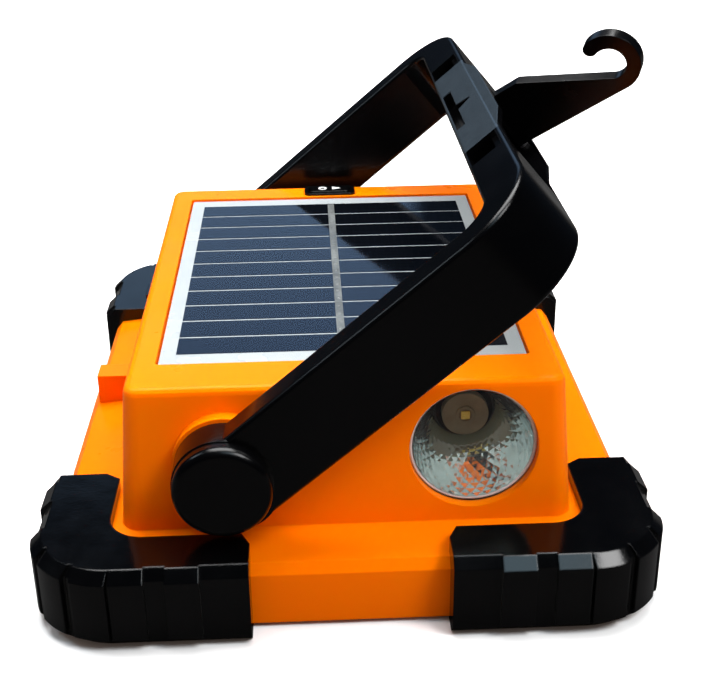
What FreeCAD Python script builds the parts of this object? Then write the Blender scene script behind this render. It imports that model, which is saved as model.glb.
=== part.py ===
"""Solar flood light with a folding handle, a hook and a side torch.

Millimetres, +Z up.  The lamp lies face down on its four rubber bumpers with
the solar panel on top.  The origin is the middle of the base, on the floor.
X runs to the right, Y runs from the torch side (near) to the button side (far).
"""
import FreeCAD
import Part
import math
import os

V = FreeCAD.Vector
X_AXIS = V(1, 0, 0)
Y_AXIS = V(0, 1, 0)
Z_AXIS = V(0, 0, 1)

# ---------------------------------------------------------------- housing
RIM_X, RIM_Y = 74.0, 92.0            # half sizes of the orange rim
RIM_R = 16.0
RIM_BOTTOM, RIM_TOP = 1.2, 15.0
FOOT_X, FOOT_Y, FOOT_Z = 56.3, 77.1, 19.2    # where the box rises from the rim
TOP_X, TOP_Y, TOP_Z = 53.3, 75.2, 57.0       # top of the box
TOP_ROUND = 1.8
SHELF_Z = 14.6                       # underside of the rim's shelf
CEILING_Z = 52.4                     # underside of the top wall
CAVITY_X, CAVITY_Y = 71.6, 89.6
PANEL_X, PANEL_Y, PANEL_MID_Y = 45.9, 62.1, 1.5
PANEL_FLOOR = 54.6

# ---------------------------------------------------------------- bumpers
BUMPER_X, BUMPER_Y, BUMPER_R = 76.7, 98.7, 20.0
BUMPER_TOP = 22.0
PAD_PROUD = 1.3
BUMPER_BEVEL, BUMPER_BEVEL_DROP = 2.2, 2.6      # slope along the upper edge
BUMPER_END_X, BUMPER_END_Y = 24.0, 54.0
BUMPER_INNER_X, BUMPER_INNER_Y = 58.8, 84.0
LIP_X, LIP_Y = 67.5, 85.5            # window under the lamp

# ---------------------------------------------------------------- front
WINDOW_X, WINDOW_Y = 60.0, 78.0
SCREW_X, SCREW_Y = 64.5, 82.5

# ---------------------------------------------------------------- torch
TORCH_X, TORCH_Z = 31.1, 38.9
TORCH_HOLE_R = 15.9
TORCH_RIM_Y = -74.0
TORCH_MOUTH, TORCH_THROAT, TORCH_DEPTH = 14.9, 7.4, 18.0
TORCH_LED_R, TORCH_LED_H = 6.0, 2.5

# ---------------------------------------------------------------- handle
PIVOT_X, PIVOT_Z = -29.5, 38.0
HANDLE_TILT = 40.23                  # stored angle above level, degrees
ARM_IN, ARM_OUT = 79.5, 88.2
ARM_LOW, ARM_HIGH = -13.45, 8.85     # width of the strip about the pivot
BAR_IN, BAR_OUT = 87.3, 99.2
BULGE_OUT = 101.2
MARK_DEPTH, BAND_LIP = 4.6, 1.5        # recesses in the bar's upper edge
ARM_MID = (ARM_LOW + ARM_HIGH) / 2
BOSS_R, CAP_R, CAP_ROUND = 12.2, 11.9, 2.2
ARM_END_R = 10.0                     # round end of each arm
BOLT_R, BOLT_HOLE_R = 2.5, 2.55
CAP_FACE = 92.5

# ---------------------------------------------------------------- hook
PIN_REACH = 98.6                     # hinge pin's distance from the pivot
HOOK_SWING = 30.0                    # stored angle from straight out, degrees
BLADE_T = 3.6
BLADE_LOW, BLADE_TOP = -8.9, 7.7      # blade edges about the bar's middle
CURL_REACH, CURL_IN, CURL_OUT = 36.6, 4.4, 8.2
CURL_MID = BLADE_LOW + CURL_OUT
PIN_R, PIN_HOLE_R = 1.25, 1.3

# ---------------------------------------------------------------- button
BUTTON_Y = 69.5
BEZEL_X, KEY_X = 8.5, 6.6

# ---------------------------------------------------------------- charging side
PORT_Y = 40.0
BOARD_Z = 24.0


def box(x0, x1, y0, y1, z0, z1):
    return Part.makeBox(x1 - x0, y1 - y0, z1 - z0, V(x0, y0, z0))


def centred_box(half_x, half_y, z0, z1, mid_x=0.0, mid_y=0.0):
    return box(mid_x - half_x, mid_x + half_x, mid_y - half_y, mid_y + half_y, z0, z1)


def rod(radius, start, direction, length):
    return Part.makeCylinder(radius, length, V(*start), direction)


def ring(outer, inner, start, direction, length):
    return rod(outer, start, direction, length).cut(rod(inner, start, direction, length))


def rounded_outline(half_x, half_y, radius, z, mid_x=0.0, mid_y=0.0):
    """Rectangle with round corners as a closed wire at height z."""
    edges = []
    corners = [(1, 1, 0), (-1, 1, 90), (-1, -1, 180), (1, -1, 270)]
    ends = []
    for side_x, side_y, turn in corners:
        middle = V(mid_x + side_x * (half_x - radius), mid_y + side_y * (half_y - radius), z)
        points = []
        for step in (0, 45, 90):
            angle = math.radians(turn + step)
            points.append(middle + V(math.cos(angle), math.sin(angle), 0) * radius)
        ends.append(points)
    for index, points in enumerate(ends):
        following = ends[(index + 1) % 4]
        edges.append(Part.Arc(*points).toShape())
        edges.append(Part.makeLine(points[2], following[0]))
    return Part.Wire(edges)


def slab(half_x, half_y, radius, z0, z1, mid_x=0.0, mid_y=0.0):
    face = Part.Face(rounded_outline(half_x, half_y, radius, z0, mid_x, mid_y))
    return face.extrude(V(0, 0, z1 - z0))


def stack(sections):
    """Solid through rounded outlines, each (half_x, half_y, radius, z)."""
    outlines = [rounded_outline(*section) for section in sections]
    return Part.makeLoft(outlines, True, True)


def prism(points, direction):
    """Straight-sided solid from a closed list of corner points."""
    corners = [V(*point) for point in points]
    return Part.Face(Part.makePolygon(corners + [corners[0]])).extrude(direction)


def fuse_all(shapes):
    return shapes[0].multiFuse(shapes[1:]).removeSplitter()


def soften(shape, radius, chosen):
    """Round the edges for which chosen(edge) is true."""
    edges = [edge for edge in shape.Edges if chosen(edge)]
    return shape.makeFillet(radius, edges)


def wire_tube(points, radius):
    """Insulated lead: straight runs joined by tangent arcs."""
    stops = [V(*point) for point in points]
    edges = []
    start = stops[0]
    for before, corner, after in zip(stops, stops[1:], stops[2:]):
        run_in = corner - before
        run_out = after - corner
        half_turn = run_in.getAngle(run_out) / 2
        bend = 0.45 * min(run_in.Length, run_out.Length) / math.tan(half_turn)
        setback = bend * math.tan(half_turn)
        way_in = run_in.normalize()
        way_out = run_out.normalize()
        bend_start = corner - way_in * setback
        bend_end = corner + way_out * setback
        inward = (way_out - way_in).normalize()
        bend_mid = corner + inward * (bend / math.cos(half_turn) - bend)
        edges.append(Part.makeLine(start, bend_start))
        edges.append(Part.Arc(bend_start, bend_mid, bend_end).toShape())
        start = bend_end
    edges.append(Part.makeLine(start, stops[-1]))
    path = Part.Wire(edges)
    first = (stops[1] - stops[0]).normalize()
    section = Part.Wire([Part.makeCircle(radius, stops[0], first)])
    return path.makePipeShell([section], True, True)


def hex_nut(across_corners, hole, start, direction, length):
    points = []
    for step in range(6):
        angle = math.radians(60 * step)
        offset = V(math.cos(angle), 0, math.sin(angle)) * across_corners
        points.append(V(*start) + offset)
    body = Part.Face(Part.makePolygon(points + [points[0]])).extrude(direction * length)
    return body.cut(rod(hole, start, direction, length))


# ------------------------------------------------------------------ housing
def case_outside():
    sections = [
        (RIM_X, RIM_Y, RIM_R, RIM_BOTTOM),
        (RIM_X, RIM_Y, RIM_R, RIM_TOP),
        (RIM_X - 2, RIM_Y - 2, RIM_R - 2, 17.5),
        (FOOT_X, FOOT_Y, 5.0, FOOT_Z),
        (TOP_X, TOP_Y, 4.0, TOP_Z - TOP_ROUND),
    ]
    for angle in (30, 60, 90):
        inset = TOP_ROUND * (1 - math.cos(math.radians(angle)))
        height = TOP_Z - TOP_ROUND + TOP_ROUND * math.sin(math.radians(angle))
        sections.append((TOP_X - inset, TOP_Y - inset, 4.0 - inset, height))
    return stack(sections)


def case_inside():
    rim = slab(CAVITY_X, CAVITY_Y, 13.6, RIM_BOTTOM - 1, SHELF_Z)
    room = stack([(FOOT_X - 2.4, FOOT_Y - 2.4, 3.0, SHELF_Z - 0.5),
                  (TOP_X - 2.4, TOP_Y - 2.4, 3.0, CEILING_Z)])
    return rim.fuse(room)


def ceiling_posts():
    """Posts that carry the two boards, hung from the top wall."""
    posts = []
    for x in BOARD_POST_X:
        for y in BOARD_POST_Y:
            posts.append(rod(3.0, (x, y, BOARD_Z + 1.6), Z_AXIS, CEILING_Z - BOARD_Z - 1))
    for x in (-11.5, 11.5):
        posts.append(rod(2.0, (x, BUTTON_Y - 1.5, 46.4), Z_AXIS, CEILING_Z - 46))
    return posts


BOARD_POST_X = (-44.0, 24.0)
BOARD_POST_Y = (25.0, 56.0)


def rear_case():
    shell = case_outside().cut(case_inside())
    added = []
    for side in (-1, 1):
        outward = V(0, side, 0)
        added.append(rod(12.8, (PIVOT_X, side * 73.6, PIVOT_Z), outward, 78.7 - 73.6))
        added.append(rod(8.0, (PIVOT_X, side * 71.5, PIVOT_Z), outward, 4.0))
        for x_side in (-1, 1):
            added.append(rod(3.6, (x_side * SCREW_X, side * SCREW_Y, 7.6), Z_AXIS, 8.0))
    added += ceiling_posts()
    # catch block on the left of the box and the raised charging port
    added.append(box(-71.5, -54.5, -5.7, 2.2, 16.8, 26.5))
    added.append(port_boss())
    case = fuse_all([shell] + added)
    cuts = [slab(PANEL_X + 0.6, PANEL_Y + 0.6, 1.0, PANEL_FLOOR, TOP_Z + 1, 0, PANEL_MID_Y)]
    cuts.append(rod(TORCH_HOLE_R, (TORCH_X, -80, TORCH_Z), Y_AXIS, 17.5))
    cuts.append(rod(1.2, (-20, PORT_Y, CEILING_Z - 1), Z_AXIS, 4))
    # button well: a seat for the bezel, a slot for the key and room for its flange
    cuts.append(slab(BEZEL_X + 0.1, 4.35, 2.0, 55.8, 58, 0, BUTTON_Y))
    cuts.append(slab(KEY_X + 0.4, 3.35, 1.5, 50, 58, 0, BUTTON_Y))
    cuts.append(slab(KEY_X + 1.3, 4.0, 1.0, 50, 53.8, 0, BUTTON_Y))
    cuts += port_openings()
    for side in (-1, 1):
        outward = V(0, side, 0)
        cuts.append(rod(BOLT_R + 0.1, (PIVOT_X, side * 70, PIVOT_Z), outward, 12))
        for x_side in (-1, 1):
            cuts.append(rod(1.35, (x_side * SCREW_X, side * SCREW_Y, 7), Z_AXIS, 7.5))
            cuts.append(rod(1.25, (x_side * 58, side * 60, SHELF_Z - 1), Z_AXIS, 4))
    for x in BOARD_POST_X:
        for y in BOARD_POST_Y:
            cuts.append(rod(1.25, (x, y, BOARD_Z + 1), Z_AXIS, 8))
    for x in (-11.5, 11.5):
        cuts.append(rod(0.85, (x, BUTTON_Y - 1.5, 46), Z_AXIS, 4))
    for tool in cuts:
        case = case.cut(tool)
    return case


# ------------------------------------------------------------------ charging port
def port_boss():
    return box(-57.6, -53.0, PORT_Y - 15, PORT_Y + 15, 20.5, 34.0)


def port_openings():
    usb = box(-60, -50, PORT_Y + 1, PORT_Y + 12.4, 25.4, 31.6)
    charge = rod(3.6, (-60, PORT_Y - 7, 28.6), X_AXIS, 10)
    return [usb, charge]


PORT_PIN_X, PORT_PIN_Z = -59.2, 22.6


def port_hinge_ears():
    ears = []
    for mid_y in (PORT_Y - 13, PORT_Y + 13):
        ear = rod(2.0, (PORT_PIN_X, mid_y - 1, PORT_PIN_Z), Y_AXIS, 2)
        root = box(PORT_PIN_X, -57.0, mid_y - 1, mid_y + 1, PORT_PIN_Z - 2, PORT_PIN_Z + 2)
        ears += [ear, root]
    return ears


def port_cover():
    plate = slab(0.9, 11.4, 0.5, PORT_PIN_Z, 34.5, -58.9, PORT_Y)
    barrel = rod(1.5, (PORT_PIN_X, PORT_Y - 11.4, PORT_PIN_Z), Y_AXIS, 22.8)
    pin = rod(0.9, (PORT_PIN_X, PORT_Y - 14, PORT_PIN_Z), Y_AXIS, 28)
    tab = box(-60.9, -58.5, PORT_Y - 4, PORT_Y + 4, 33.2, 34.9)
    return fuse_all([plate, barrel, pin, tab])


def usb_socket():
    outer = box(-57.0, -43.0, PORT_Y + 1.4, PORT_Y + 12.0, 25.8, 31.2)
    mouth = box(-58.0, -45.0, PORT_Y + 2.0, PORT_Y + 11.4, 26.4, 30.6)
    tongue = box(-54.0, -44.5, PORT_Y + 3.2, PORT_Y + 10.2, 28.9, 30.0)
    return outer.cut(mouth).fuse(tongue)


def charge_socket():
    body = box(-52.0, -42.0, PORT_Y - 11.5, PORT_Y - 2.5, 25.6, 32.6)
    nose = rod(3.4, (-57.0, PORT_Y - 7, 28.6), X_AXIS, 5)
    hole = rod(2.4, (-58.0, PORT_Y - 7, 28.6), X_AXIS, 12)
    pin = rod(0.8, (-55.5, PORT_Y - 7, 28.6), X_AXIS, 13)
    return fuse_all([body, nose]).cut(hole).fuse(pin)


# ------------------------------------------------------------------ bumpers
def bumper_block(grow, low, top, bevel):
    """Ring block with sloped edges, standing proud of the plain bumper by grow."""
    half_x = BUMPER_X + grow
    half_y = BUMPER_Y + grow
    radius = BUMPER_R + grow
    return stack([(half_x - 2.6, half_y - 2.6, radius - 2.6, low),
                  (half_x, half_y, radius, low + 2.4),
                  (half_x, half_y, radius, top - BUMPER_BEVEL_DROP),
                  (half_x - bevel, half_y - bevel, radius - bevel, top)])


def pad_cutters(side_x, side_y):
    """Blocks that mark where the raised pads stand around one corner."""
    cutters = []
    for x in (39.6, 52.6):
        cutters.append(centred_box(4.1, 9.0, 0, 30, side_x * x, side_y * 95))
    cutters.append(centred_box(9.0, 4.6, 0, 30, side_x * 74, side_y * 62))
    corner_x = BUMPER_X - BUMPER_R
    corner_y = BUMPER_Y - BUMPER_R
    for angle in (14, 45, 76):
        block = box(9.0, 26.0, -4.4, 4.4, 0, 30)
        block.rotate(V(0, 0, 0), Z_AXIS, angle)
        block.translate(V(corner_x, corner_y, 0))
        block = block.transformGeometry(mirror_matrix(side_x, side_y))
        cutters.append(block)
    return cutters


def mirror_matrix(side_x, side_y):
    matrix = FreeCAD.Matrix()
    matrix.scale(V(side_x, side_y, 1))
    return matrix


def bumper(side_x, side_y):
    raised = bumper_block(PAD_PROUD, 1.2, BUMPER_TOP, BUMPER_BEVEL + 0.6)
    pads = raised.common(fuse_all(pad_cutters(side_x, side_y)))
    body = bumper_block(0.0, 0.0, BUMPER_TOP, BUMPER_BEVEL).fuse(pads)
    body = body.cut(case_outside())
    body = body.cut(slab(BUMPER_INNER_X, BUMPER_INNER_Y, 9.0, RIM_BOTTOM, 40))
    body = body.cut(slab(LIP_X, LIP_Y, 9.5, -5, RIM_BOTTOM + 1))
    reach = 120.0
    outline = [(-BUMPER_END_X, -reach), (-BUMPER_END_X, -88.5), (-28.0, -80.0), (-57.0, -80.0),
               (-57.0, -58.0), (-62.5, -BUMPER_END_Y), (-reach, -BUMPER_END_Y), (-reach, -reach)]
    corner = [(-side_x * x, -side_y * y, -5) for x, y in outline]
    return body.common(prism(corner, V(0, 0, 60)))


# ------------------------------------------------------------------ front of the lamp
def front_bezel():
    plate = slab(71.2, 89.2, 13.2, 2.8, 5.0)
    bezel = plate.cut(slab(WINDOW_X, WINDOW_Y, 9.0, 2, 6))
    for x_side in (-1, 1):
        for side in (-1, 1):
            at = (x_side * SCREW_X, side * SCREW_Y)
            bezel = bezel.cut(rod(1.5, (at[0], at[1], 2), Z_AXIS, 4))
            bezel = bezel.cut(rod(2.9, (at[0], at[1], 2), Z_AXIS, 2.2))
    return bezel


def flood_lens():
    return slab(WINDOW_X + 2, WINDOW_Y + 2, 10.0, 5.0, 7.2)


def front_gasket():
    band = slab(WINDOW_X + 4, WINDOW_Y + 4, 13.0, 5.0, 8.0)
    band = band.cut(slab(WINDOW_X + 2.15, WINDOW_Y + 2.15, 10.15, 4, 7.25))
    return band.cut(slab(WINDOW_X, WINDOW_Y, 9.0, 4, 9))


def flood_reflector():
    flange = slab(WINDOW_X + 4, WINDOW_Y + 4, 13.0, 8.0, 9.0)
    cup = stack([(WINDOW_X + 0.8, WINDOW_Y + 0.8, 9.8, 8.0), (50.8, 68.8, 6.8, 13.1)])
    space = stack([(WINDOW_X, WINDOW_Y, 9.0, 8.0), (50.0, 68.0, 6.0, 13.1)])
    return flange.fuse(cup).cut(space)


def led_board():
    plate = slab(62.0, 82.0, 8.0, 13.2, SHELF_Z)
    for x_side in (-1, 1):
        for side in (-1, 1):
            plate = plate.cut(rod(1.4, (x_side * 58, side * 60, 13), Z_AXIS, 3))
    return plate


def led_chips():
    chips = []
    for column in range(8):
        for row in range(11):
            x = (column - 3.5) * 11.8
            y = (row - 5.0) * 11.8
            chips.append(centred_box(1.4, 1.75, 12.4, 13.2, x, y))
    return Part.makeCompound(chips)


# ------------------------------------------------------------------ solar panel
STRIP_COUNT, STRIP_PITCH, STRIP_GAP, STRIP_X = 11, 10.3, 1.0, 41.9


def panel_adhesive():
    pad = slab(PANEL_X - 3, PANEL_Y - 3, 2.0, PANEL_FLOOR, PANEL_FLOOR + 0.3, 0, PANEL_MID_Y)
    return pad.cut(rod(1.2, (-20, PORT_Y, PANEL_FLOOR - 1), Z_AXIS, 3))


def solar_laminate():
    return slab(PANEL_X, PANEL_Y, 0.6, PANEL_FLOOR + 0.3, 56.4, 0, PANEL_MID_Y)


def solar_cells():
    strips = []
    for index in range(STRIP_COUNT):
        y = PANEL_MID_Y + (index - (STRIP_COUNT - 1) / 2) * STRIP_PITCH
        strips.append(centred_box(STRIP_X, (STRIP_PITCH - STRIP_GAP) / 2, 56.4, 56.6, 0, y))
    return Part.makeCompound(strips)


def solar_ribbon():
    half = STRIP_COUNT * STRIP_PITCH / 2
    return centred_box(1.05, half - 0.5, 56.6, 56.7, 0, PANEL_MID_Y)


def solar_film():
    return slab(PANEL_X, PANEL_Y, 0.6, 56.7, TOP_Z, 0, PANEL_MID_Y)


# ------------------------------------------------------------------ torch
def turned(profile):
    """Solid of revolution about the torch axis from (radius, depth) pairs."""
    points = [V(TORCH_X + radius, TORCH_RIM_Y + depth, TORCH_Z) for radius, depth in profile]
    face = Part.Face(Part.makePolygon(points + [points[0]]))
    return face.revolve(V(TORCH_X, TORCH_RIM_Y, TORCH_Z), Y_AXIS, 360)


def torch_reflector():
    wall = 0.8
    steps = 8
    inner = []
    for step in range(steps + 1):
        along = TORCH_DEPTH * step / steps
        bulk = TORCH_MOUTH ** 2 - (TORCH_MOUTH ** 2 - TORCH_THROAT ** 2) * step / steps
        inner.append((math.sqrt(bulk), along))
    outer = [(radius + wall, along) for radius, along in reversed(inner)]
    return turned(inner + outer)


def torch_lens():
    return rod(15.6, (TORCH_X, TORCH_RIM_Y - 1.2, TORCH_Z), Y_AXIS, 1.2)


def torch_board():
    return rod(9.6, (TORCH_X, TORCH_RIM_Y + TORCH_DEPTH, TORCH_Z), Y_AXIS, 1.5)


def torch_led():
    face = TORCH_RIM_Y + TORCH_DEPTH - TORCH_LED_H
    base = rod(TORCH_LED_R, (TORCH_X, face, TORCH_Z), Y_AXIS, TORCH_LED_H)
    collar = ring(2.4, 1.7, (TORCH_X, face - 0.6, TORCH_Z), Y_AXIS, 0.7)
    chip = centred_box(0.95, 0.3, -0.95, 0.95)
    chip.translate(V(TORCH_X, face - 0.25, TORCH_Z))
    return fuse_all([base, collar, chip])


# ------------------------------------------------------------------ battery and boards
CELL_R, CELL_LENGTH = 9.2, 65.0
CELL_Y = (-12.0, 9.0)


def battery_cell(index):
    start = (-CELL_LENGTH / 2, CELL_Y[index], PIVOT_Z)
    body = rod(CELL_R, start, X_AXIS, CELL_LENGTH - 1.2)
    tip = rod(2.8, (CELL_LENGTH / 2 - 1.2, CELL_Y[index], PIVOT_Z), X_AXIS, 1.2)
    return body.fuse(tip)


def battery_holder():
    block = box(-36.5, 36.5, -23.5, 20.5, 30.0, CEILING_Z)
    block = block.cut(box(-32.7, 32.7, -30, 30, 20, PIVOT_Z))
    for y in CELL_Y:
        block = block.cut(rod(CELL_R + 0.15, (-32.7, y, PIVOT_Z), X_AXIS, 65.4))
    return block


def main_board():
    plate = box(-52.0, 30.0, 20.0, 61.0, BOARD_Z, BOARD_Z + 1.6)
    for x in BOARD_POST_X:
        for y in BOARD_POST_Y:
            plate = plate.cut(rod(1.35, (x, y, BOARD_Z - 1), Z_AXIS, 4))
    return plate


def board_components():
    top = BOARD_Z + 1.6
    parts = [centred_box(3.0, 2.5, top, top + 1.6, -8, 32),
             centred_box(2.5, 2.5, top, top + 1.4, 6, 46),
             centred_box(5.0, 5.0, top, top + 4.5, -28, 30),
             rod(4.0, (10, 32, top), Z_AXIS, 9.0),
             rod(3.0, (-6, 52, top), Z_AXIS, 7.0)]
    for index in range(6):
        parts.append(centred_box(1.0, 0.6, top, top + 0.6, -2 + 3.4 * index, 38.5))
    return Part.makeCompound(parts)


def switch_board():
    plate = box(-14.0, 14.0, BUTTON_Y - 5, BUTTON_Y + 2.5, 44.8, 46.4)
    for x in (-11.5, 11.5):
        plate = plate.cut(rod(1.0, (x, BUTTON_Y - 1.5, 44), Z_AXIS, 3))
    return plate


def tact_switch():
    body = centred_box(3.0, 2.3, 46.4, 48.4, 0, BUTTON_Y)
    return body.fuse(rod(1.6, (0, BUTTON_Y, 48.0), Z_AXIS, 1.0))


def button_bezel():
    plate = slab(BEZEL_X, 4.25, 1.9, 55.8, 57.7, 0, BUTTON_Y)
    return plate.cut(slab(KEY_X + 0.4, 3.35, 1.5, 55, 59, 0, BUTTON_Y))


def mode_button():
    key = slab(KEY_X, 2.95, 1.1, 53.0, 58.1, 0, BUTTON_Y)
    flange = slab(KEY_X + 0.8, 3.5, 1.0, 52.6, 53.6, 0, BUTTON_Y)
    stem = rod(1.5, (0, BUTTON_Y, 49.9), Z_AXIS, 3)
    return fuse_all([key, flange, stem])


def button_icon():
    """Generic marks: a ring for power and a triangle for mode."""
    z = 58.1
    power = ring(1.4, 0.9, (-2.4, BUTTON_Y, z), Z_AXIS, 0.15)
    wedge = prism([(0.9, BUTTON_Y - 1.3, z), (3.7, BUTTON_Y, z), (0.9, BUTTON_Y + 1.3, z)],
                  V(0, 0, 0.15))
    return Part.makeCompound([power, wedge])


# ------------------------------------------------------------------ fasteners and leads
def pan_screw(at, shaft_r, shaft_length, head_r, head_height, slot_depth=0.8):
    """Screw whose head starts at the given point and whose shaft points up."""
    x, y, z = at
    screw = rod(head_r, (x, y, z), Z_AXIS, head_height)
    screw = screw.fuse(rod(shaft_r, (x, y, z), Z_AXIS, head_height + shaft_length))
    for half_x, half_y in ((head_r * 0.6, 0.3), (0.3, head_r * 0.6)):
        screw = screw.cut(centred_box(half_x, half_y, z - 1, z + slot_depth, x, y))
    return screw


def case_screws():
    places = [(sx * SCREW_X, sy * SCREW_Y, 2.6) for sx in (-1, 1) for sy in (-1, 1)]
    return Part.makeCompound([pan_screw(place, 1.3, 10.0, 2.6, 1.6) for place in places])


def board_screws():
    screws = []
    for sx in (-1, 1):
        for sy in (-1, 1):
            screws.append(pan_screw((sx * 58, sy * 60, 11.7), 1.2, 4.2, 2.3, 1.5))
    for x in BOARD_POST_X:
        for y in BOARD_POST_Y:
            screws.append(pan_screw((x, y, BOARD_Z - 1.5), 1.2, 7.0, 2.3, 1.5))
    for x in (-11.5, 11.5):
        screws.append(pan_screw((x, BUTTON_Y - 1.5, 43.8), 0.8, 4.2, 1.6, 1.0, 0.5))
    return Part.makeCompound(screws)


def pivot_bolt(side):
    outward = V(0, side, 0)
    shaft = rod(BOLT_R, (PIVOT_X, side * 67.5, PIVOT_Z), outward, 21)
    head = rod(4.5, (PIVOT_X, side * 88.3, PIVOT_Z), outward, 2.6)
    slot = hex_nut(2.0, 0.01, (PIVOT_X, side * 89.6, PIVOT_Z), outward, 3)
    return shaft.fuse(head).cut(slot)


def pivot_nut(side):
    return hex_nut(4.6, BOLT_HOLE_R, (PIVOT_X, side * 68.0, PIVOT_Z), V(0, side, 0), 3.5)


def friction_washer(side):
    outward = V(0, side, 0)
    return ring(9.0, BOLT_R + 0.1, (PIVOT_X, side * 78.7, PIVOT_Z), outward, 0.7)


def solar_lead():
    return wire_tube([(-20, PORT_Y, PANEL_FLOOR + 0.3), (-20, PORT_Y, 40),
                      (-12, PORT_Y + 4, 40), (-12, PORT_Y + 4, BOARD_Z + 1.6)], 0.6)


def battery_lead():
    return wire_tube([(36.5, 0, 33), (42, 0, 33), (42, 42, 33), (27, 42, 33),
                      (27, 42, BOARD_Z + 1.6)], 0.6)


def flood_lead():
    return wire_tube([(-2, 44, SHELF_Z), (-2, 44, 19.5), (4, 50, 19.5), (4, 50, BOARD_Z)], 0.6)


def torch_lead():
    return wire_tube([(TORCH_X, TORCH_RIM_Y + TORCH_DEPTH + 1.5, 35), (TORCH_X, -46, 35), (45, -46, 37),
                      (45, 32, 37), (20, 32, 37), (20, 32, BOARD_Z + 1.6)], 0.6)


def switch_lead():
    return wire_tube([(8, BUTTON_Y - 4, 44.8), (8, BUTTON_Y - 4, 38), (14, 52, 38),
                      (14, 52, BOARD_Z + 1.6)], 0.6)


# ------------------------------------------------------------------ handle
def in_handle_place(shape):
    """Move a shape from the handle's own axes to its stored pose.

    In its own axes X runs from the pivot to the cross bar and Z is the
    direction of the strip's width.
    """
    placed = shape.copy()
    placed.rotate(V(0, 0, 0), Y_AXIS, -HANDLE_TILT)
    placed.translate(V(PIVOT_X, 0, PIVOT_Z))
    return placed


def u_strip():
    """The bent strip: two arms and the cross bar with round corners."""
    outer = slab(BAR_OUT, ARM_OUT, 20.0, ARM_LOW, ARM_HIGH)
    inner = slab(BAR_IN, ARM_IN, 8.0, ARM_LOW - 1, ARM_HIGH + 1)
    strip = outer.cut(inner).common(box(1, 120, -100, 100, -20, 20))
    return soften(strip, 1.2, long_strip_edge)


def long_strip_edge(edge):
    box_of = edge.BoundBox
    on_side = abs(box_of.ZMax - box_of.ZMin) < 0.01
    at_start = box_of.XMax < 1.01
    return on_side and not at_start


def bulge():
    """Raised nest around the folded hook on the outside of the bar."""
    low, high = ARM_LOW + 0.1, ARM_HIGH - 0.1
    points = [(BAR_OUT - 2, -42, low), (BULGE_OUT, -23, low), (BULGE_OUT, 21, low),
              (BAR_OUT - 2, 40, low)]
    return prism(points, V(0, 0, high - low))


def hook_pocket():
    low, high = ARM_MID - 9.9, ARM_MID + 8.9
    room = box(96.2, 110, -48.0, 2.4, low, high)
    knuckle = rod(2.6, (PIN_REACH, 0, low), Z_AXIS, high - low)
    return room.fuse(knuckle)


def bar_recesses():
    """T mark and two stepped grip bands in the upper edge of the cross bar."""
    top = ARM_HIGH
    deep = top - MARK_DEPTH
    cuts = [box(88.5, 91.3, -17.5, 17.5, deep, top + 2)]
    cuts.append(prism([(91.2, -2.6, deep), (95.6, -0.5, deep), (95.6, 0.5, deep),
                       (91.2, 2.6, deep)], V(0, 0, MARK_DEPTH + 2)))
    for y in (-43.0, 43.0):
        cuts.append(box(88.3, 95.4, y - 6.0, y + 6.0, deep, top + 2))
        cuts.append(box(88.3, 97.4, y - 6.0, y + 6.0, top - BAND_LIP, top + 2))
    return cuts


def arm_end(side):
    """Round end of one arm with the boss around the pivot bolt."""
    outward = V(0, side, 0)
    thick = ARM_OUT - ARM_IN
    low_mid = ARM_LOW + ARM_END_R
    high_mid = ARM_HIGH - ARM_END_R
    start, stop = sorted((side * ARM_IN, side * ARM_OUT))
    pieces = [rod(BOSS_R, (0, side * ARM_IN, 0), outward, thick),
              rod(ARM_END_R, (1, side * ARM_IN, low_mid), outward, thick),
              rod(ARM_END_R, (1, side * ARM_IN, high_mid), outward, thick),
              box(1 - ARM_END_R, 2, start, stop, low_mid, high_mid)]
    return fuse_all(pieces)


def handle_frame():
    parts = [u_strip()]
    for side in (-1, 1):
        parts.append(arm_end(side))
    frame = fuse_all(parts)
    frame = frame.fuse(bulge()).cut(hook_pocket())
    for tool in bar_recesses():
        frame = frame.cut(tool)
    for side in (-1, 1):
        frame = frame.cut(rod(BOLT_HOLE_R, (0, side * 70, 0), V(0, side, 0), 30))
    frame = frame.cut(rod(PIN_R + 0.01, (PIN_REACH, 0, ARM_MID - 10.9), Z_AXIS, 21.6))
    return in_handle_place(frame)


def pivot_cap(side):
    outward = V(0, side, 0)
    disc = rod(CAP_R, (0, side * ARM_OUT, 0), outward, CAP_FACE - ARM_OUT)
    disc = soften(disc, CAP_ROUND, lambda edge: abs(abs(edge.BoundBox.Center.y) - CAP_FACE) < 0.01)
    disc = disc.cut(rod(5.4, (0, side * (ARM_OUT - 1), 0), outward, 4.2))
    return in_handle_place(disc)


def hook_pin():
    pin = rod(PIN_R, (PIN_REACH, 0, ARM_MID - 10.8), Z_AXIS, 21.4)
    return in_handle_place(pin)


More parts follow.
